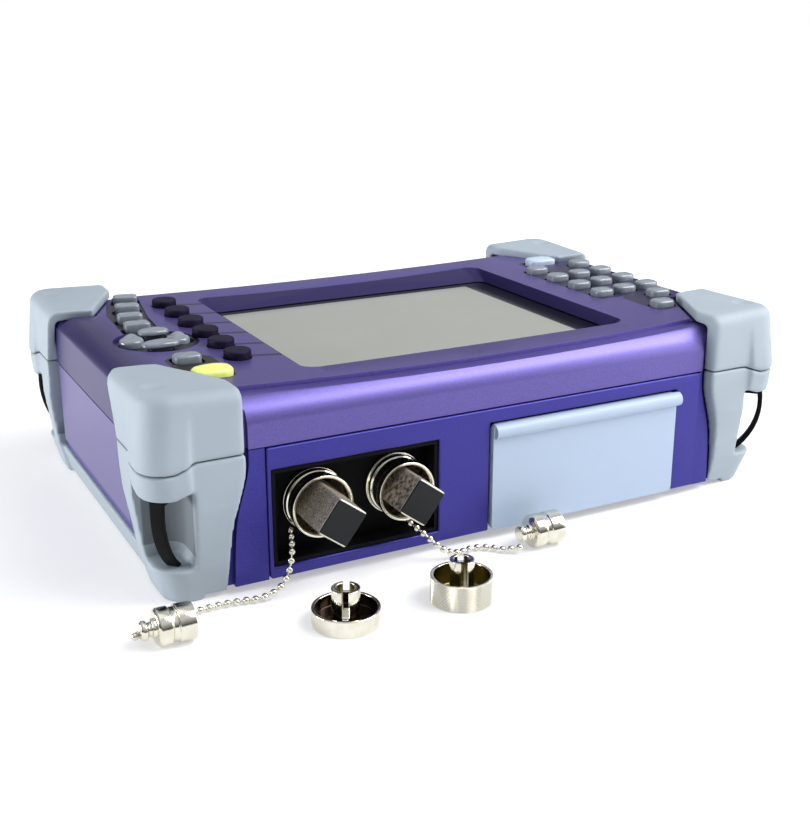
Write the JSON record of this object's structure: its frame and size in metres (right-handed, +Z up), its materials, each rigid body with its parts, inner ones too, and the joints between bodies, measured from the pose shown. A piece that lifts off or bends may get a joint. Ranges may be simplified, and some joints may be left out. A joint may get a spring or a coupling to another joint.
{
  "type": "optical time domain reflectometer",
  "caption": "Handheld optical fibre tester: crowned case with corner guards, recessed display, key fields on both sides, two capped optical ports and a hinged port cover.",
  "frame": {"origin": "on the floor under the middle of the case, in the plane of the guards' feet", "axes": "+X along the case's long side, -Y the side with the optical ports, +Z up out of the deck"},
  "size_m": [0.2615, 0.2083, 0.0705],
  "materials": {
    "case_paint": "satin metallic deep purple paint",
    "deck_paint": "satin metallic purple paint",
    "cover_grey": "satin light blue-grey paint",
    "fascia_paint": "satin metallic purple paint",
    "door_paint": "satin light purple paint",
    "guard_rubber": "matte light blue-grey elastomer",
    "strap_black": "matte black",
    "lens_glass": "flat grey display window with a black border",
    "screen_grey": "display panel",
    "board_green": "circuit board",
    "battery_black": "matte black",
    "optics_metal": "satin",
    "panel_black": "matte black",
    "nickel": "bright nickel plate",
    "plug_dark": "black with a bright rim",
    "screw_steel": "satin",
    "softkey_dark": "dark aubergine, semi-gloss",
    "key_grey": "semi-gloss grey",
    "key_yellow": "semi-gloss yellow-green"
  },
  "bodies": {
    "case": {"bottom_housing": "case_paint", "top_housing": "deck_paint", "corner_cap_near_left": "guard_rubber", "corner_cap_near_right": "guard_rubber", "corner_cap_far_left": "guard_rubber", "corner_cap_far_right": "guard_rubber", "end_guard_left": "guard_rubber", "end_guard_right": "guard_rubber", "strap_bars": "strap_black", "display_lens": "lens_glass", "display_module": "screen_grey", "main_board": "board_green", "battery_pack": "battery_black", "optical_module": "optics_metal", "module_fascia": "fascia_paint", "connector_panel": "panel_black", "interface_panel": "panel_black", "adapter_left": "nickel", "adapter_right": "nickel", "housing_screws": "screw_steel", "chain_left": "nickel", "chain_right": "nickel", "chain_cap_left": "nickel", "chain_cap_right": "nickel"},
    "softkey_1": {"softkey_1": "softkey_dark"},
    "softkey_2": {"softkey_2": "softkey_dark"},
    "softkey_3": {"softkey_3": "softkey_dark"},
    "softkey_4": {"softkey_4": "softkey_dark"},
    "softkey_5": {"softkey_5": "softkey_dark"},
    "softkey_6": {"softkey_6": "softkey_dark"},
    "function_key_1": {"function_key_1": "key_grey"},
    "function_key_2": {"function_key_2": "key_grey"},
    "function_key_3": {"function_key_3": "key_grey"},
    "function_key_4": {"function_key_4": "key_grey"},
    "nav_key_left": {"nav_key_left": "key_grey"},
    "nav_key_up": {"nav_key_up": "key_grey"},
    "nav_key_right": {"nav_key_right": "key_grey"},
    "nav_key_down": {"nav_key_down": "key_grey"},
    "escape_key": {"escape_key": "key_grey"},
    "start_key": {"start_key": "key_yellow"},
    "enter_key": {"enter_key": "key_grey"},
    "digit_key_1": {"digit_key_1": "key_grey"},
    "digit_key_2": {"digit_key_2": "key_grey"},
    "digit_key_3": {"digit_key_3": "key_grey"},
    "digit_key_4": {"digit_key_4": "key_grey"},
    "digit_key_5": {"digit_key_5": "key_grey"},
    "digit_key_6": {"digit_key_6": "key_grey"},
    "digit_key_7": {"digit_key_7": "key_grey"},
    "digit_key_8": {"digit_key_8": "key_grey"},
    "digit_key_9": {"digit_key_9": "key_grey"},
    "digit_key_10": {"digit_key_10": "key_grey"},
    "digit_key_11": {"digit_key_11": "key_grey"},
    "digit_key_12": {"digit_key_12": "key_grey"},
    "digit_key_13": {"digit_key_13": "key_grey"},
    "dust_plug_left": {"dust_plug_left": "plug_dark"},
    "dust_plug_right": {"dust_plug_right": "plug_dark"},
    "battery_door": {"battery_door": "door_paint"},
    "port_cover": {"port_cover": "cover_grey"},
    "loose_adapter_plain": {"loose_adapter_plain": "nickel"},
    "loose_adapter_knurled": {"loose_adapter_knurled": "nickel"}
  },
  "joints": [
    {"name": "dust_plug_left_pull", "type": "slide", "parent": "case", "child": "dust_plug_left", "axis": [0, -1, 0], "range_m": [0, 0.02]},
    {"name": "dust_plug_right_pull", "type": "slide", "parent": "case", "child": "dust_plug_right", "axis": [0, -1, 0], "range_m": [0, 0.02]},
    {"name": "battery_door_slide", "type": "slide", "parent": "case", "child": "battery_door", "axis": [-1, 0, 0], "range_m": [0, 0.03]},
    {"name": "port_cover_hinge", "type": "hinge", "parent": "case", "child": "port_cover", "pos_m": [0.0377, -0.0756, 0.0082], "axis": [1, 0, 0], "range_deg": [0, 50]},
    {"name": "loose_adapter_plain_move", "type": "slide", "parent": "case", "child": "loose_adapter_plain", "axis": [0, -1, 0], "range_m": [0, 0.03]},
    {"name": "loose_adapter_knurled_move", "type": "slide", "parent": "case", "child": "loose_adapter_knurled", "axis": [0, -1, 0], "range_m": [0, 0.03]},
    {"name": "softkey_1_press", "type": "slide", "parent": "case", "child": "softkey_1", "axis": [0, 0, -1], "range_m": [0, 0.001], "stiffness_N_per_m": 900},
    {"name": "softkey_2_press", "type": "slide", "parent": "case", "child": "softkey_2", "axis": [0, 0, -1], "range_m": [0, 0.001], "stiffness_N_per_m": 900},
    {"name": "softkey_3_press", "type": "slide", "parent": "case", "child": "softkey_3", "axis": [0, 0, -1], "range_m": [0, 0.001], "stiffness_N_per_m": 900},
    {"name": "softkey_4_press", "type": "slide", "parent": "case", "child": "softkey_4", "axis": [0, 0, -1], "range_m": [0, 0.001], "stiffness_N_per_m": 900},
    {"name": "softkey_5_press", "type": "slide", "parent": "case", "child": "softkey_5", "axis": [0, 0, -1], "range_m": [0, 0.001], "stiffness_N_per_m": 900},
    {"name": "softkey_6_press", "type": "slide", "parent": "case", "child": "softkey_6", "axis": [0, 0, -1], "range_m": [0, 0.001], "stiffness_N_per_m": 900},
    {"name": "function_key_1_press", "type": "slide", "parent": "case", "child": "function_key_1", "axis": [0, 0, -1], "range_m": [0, 0.001], "stiffness_N_per_m": 900},
    {"name": "function_key_2_press", "type": "slide", "parent": "case", "child": "function_key_2", "axis": [0, 0, -1], "range_m": [0, 0.001], "stiffness_N_per_m": 900},
    {"name": "function_key_3_press", "type": "slide", "parent": "case", "child": "function_key_3", "axis": [0, 0, -1], "range_m": [0, 0.001], "stiffness_N_per_m": 900},
    {"name": "function_key_4_press", "type": "slide", "parent": "case", "child": "function_key_4", "axis": [0, 0, -1], "range_m": [0, 0.001], "stiffness_N_per_m": 900},
    {"name": "nav_key_left_press", "type": "slide", "parent": "case", "child": "nav_key_left", "axis": [0, 0, -1], "range_m": [0, 0.001], "stiffness_N_per_m": 900},
    {"name": "nav_key_up_press", "type": "slide", "parent": "case", "child": "nav_key_up", "axis": [0, 0, -1], "range_m": [0, 0.001], "stiffness_N_per_m": 900},
    {"name": "nav_key_right_press", "type": "slide", "parent": "case", "child": "nav_key_right", "axis": [0, 0, -1], "range_m": [0, 0.001], "stiffness_N_per_m": 900},
    {"name": "nav_key_down_press", "type": "slide", "parent": "case", "child": "nav_key_down", "axis": [0, 0, -1], "range_m": [0, 0.001], "stiffness_N_per_m": 900},
    {"name": "escape_key_press", "type": "slide", "parent": "case", "child": "escape_key", "axis": [0, 0, -1], "range_m": [0, 0.001], "stiffness_N_per_m": 900},
    {"name": "start_key_press", "type": "slide", "parent": "case", "child": "start_key", "axis": [0, 0, -1], "range_m": [0, 0.001], "stiffness_N_per_m": 900},
    {"name": "enter_key_press", "type": "slide", "parent": "case", "child": "enter_key", "axis": [0, 0, -1], "range_m": [0, 0.001], "stiffness_N_per_m": 900},
    {"name": "digit_key_1_press", "type": "slide", "parent": "case", "child": "digit_key_1", "axis": [0, 0, -1], "range_m": [0, 0.001], "stiffness_N_per_m": 900},
    {"name": "digit_key_2_press", "type": "slide", "parent": "case", "child": "digit_key_2", "axis": [0, 0, -1], "range_m": [0, 0.001], "stiffness_N_per_m": 900},
    {"name": "digit_key_3_press", "type": "slide", "parent": "case", "child": "digit_key_3", "axis": [0, 0, -1], "range_m": [0, 0.001], "stiffness_N_per_m": 900},
    {"name": "digit_key_4_press", "type": "slide", "parent": "case", "child": "digit_key_4", "axis": [0, 0, -1], "range_m": [0, 0.001], "stiffness_N_per_m": 900},
    {"name": "digit_key_5_press", "type": "slide", "parent": "case", "child": "digit_key_5", "axis": [0, 0, -1], "range_m": [0, 0.001], "stiffness_N_per_m": 900},
    {"name": "digit_key_6_press", "type": "slide", "parent": "case", "child": "digit_key_6", "axis": [0, 0, -1], "range_m": [0, 0.001], "stiffness_N_per_m": 900},
    {"name": "digit_key_7_press", "type": "slide", "parent": "case", "child": "digit_key_7", "axis": [0, 0, -1], "range_m": [0, 0.001], "stiffness_N_per_m": 900},
    {"name": "digit_key_8_press", "type": "slide", "parent": "case", "child": "digit_key_8", "axis": [0, 0, -1], "range_m": [0, 0.001], "stiffness_N_per_m": 900},
    {"name": "digit_key_9_press", "type": "slide", "parent": "case", "child": "digit_key_9", "axis": [0, 0, -1], "range_m": [0, 0.001], "stiffness_N_per_m": 900},
    {"name": "digit_key_10_press", "type": "slide", "parent": "case", "child": "digit_key_10", "axis": [0, 0, -1], "range_m": [0, 0.001], "stiffness_N_per_m": 900},
    {"name": "digit_key_11_press", "type": "slide", "parent": "case", "child": "digit_key_11", "axis": [0, 0, -1], "range_m": [0, 0.001], "stiffness_N_per_m": 900},
    {"name": "digit_key_12_press", "type": "slide", "parent": "case", "child": "digit_key_12", "axis": [0, 0, -1], "range_m": [0, 0.001], "stiffness_N_per_m": 900},
    {"name": "digit_key_13_press", "type": "slide", "parent": "case", "child": "digit_key_13", "axis": [0, 0, -1], "range_m": [0, 0.001], "stiffness_N_per_m": 900}
  ]
}
